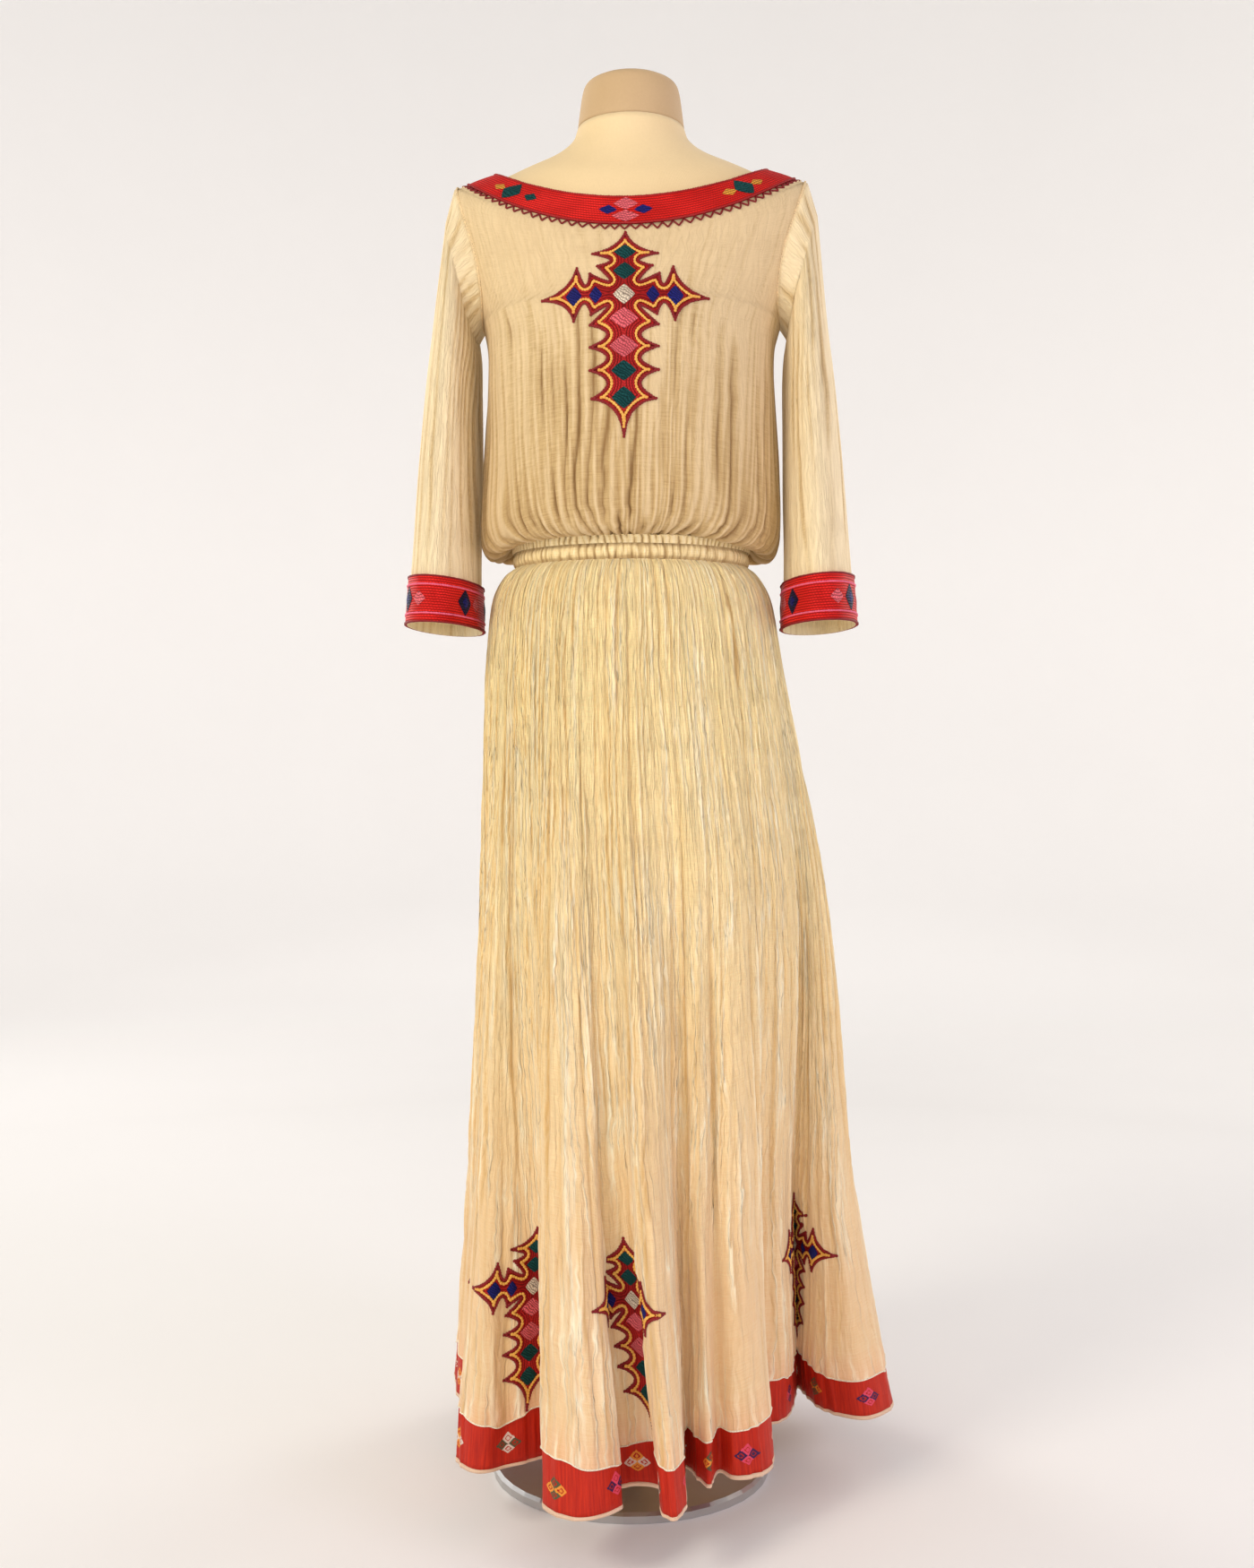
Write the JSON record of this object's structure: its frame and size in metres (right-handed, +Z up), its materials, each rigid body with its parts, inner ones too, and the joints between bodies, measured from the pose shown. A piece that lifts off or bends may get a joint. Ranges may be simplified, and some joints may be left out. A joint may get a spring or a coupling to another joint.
{
  "type": "habesha kemis dress on a limbless dress form with stand",
  "caption": "Long gathered cotton-gauze dress with red neck, cuff and hem bands and embroidered crosses, worn by a limbless dress form on a round stand.",
  "frame": {"origin": "on the floor, at the middle of the underside of the stand's round plate", "axes": "+Z up along the pole, the front of the dress faces -Y, +X to the viewer's right when facing its front"},
  "size_m": [0.4974, 0.5273, 1.411],
  "materials": {
    "cotton_gauze": "crinkled hand-woven cotton gauze, matte",
    "embroidered_band": "closely embroidered red cotton thread",
    "woven_band": "woven red tibeb band with small lozenges",
    "form_jersey": "cream jersey stretched over the form",
    "form_wood": "plain board that closes the form",
    "stand_steel": "plain steel pole and plate"
  },
  "bodies": {
    "root": {"bodice_front": "cotton_gauze", "bodice_back": "cotton_gauze", "sleeve_left": "cotton_gauze", "sleeve_right": "cotton_gauze", "waist_casing_front": "cotton_gauze", "waist_casing_back": "cotton_gauze", "skirt_front": "cotton_gauze", "skirt_back": "cotton_gauze", "neck_band_front": "embroidered_band", "neck_band_back": "embroidered_band", "cuff_left": "embroidered_band", "cuff_right": "embroidered_band", "hem_band_front": "woven_band", "hem_band_back": "woven_band", "form_torso": "form_jersey", "form_neck": "form_jersey", "form_board": "form_wood", "stand_pole": "stand_steel", "stand_base": "stand_steel", "stand_flange": "stand_steel"}
  },
  "joints": []
}
